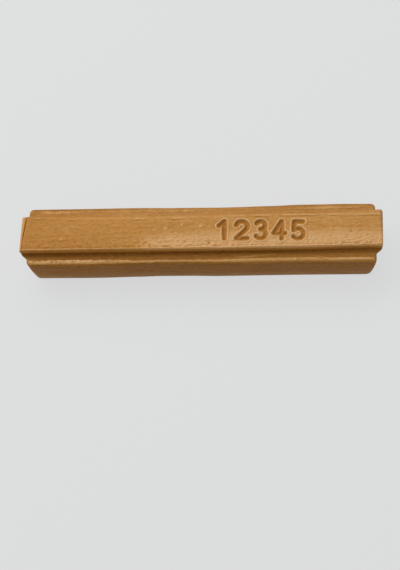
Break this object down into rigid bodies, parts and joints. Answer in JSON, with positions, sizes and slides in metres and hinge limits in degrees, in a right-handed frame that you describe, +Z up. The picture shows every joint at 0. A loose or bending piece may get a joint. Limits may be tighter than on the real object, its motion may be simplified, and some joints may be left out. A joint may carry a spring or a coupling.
{
  "type": "furniture repair wax stick",
  "caption": "Cast wax bar for filling scratches in wood: a longer, narrower slab on a wider drafted bar, with ledges along both sides and pressed digits on top.",
  "frame": {"origin": "middle of the flat base of the lower bar, on the surface that the stick lies on", "axes": "+X along the stick towards the end that the pressed digits are nearer to, +Y across it to the back, +Z up"},
  "size_m": [0.08, 0.014, 0.0105],
  "materials": {
    "bar_wax": "satin",
    "slab_wax": "satin",
    "flash_wax": "satin"
  },
  "bodies": {
    "root": {"lower_bar": "bar_wax", "upper_slab": "slab_wax", "left_end_sliver": "slab_wax", "front_flash": "flash_wax", "back_flash": "flash_wax"}
  },
  "joints": []
}
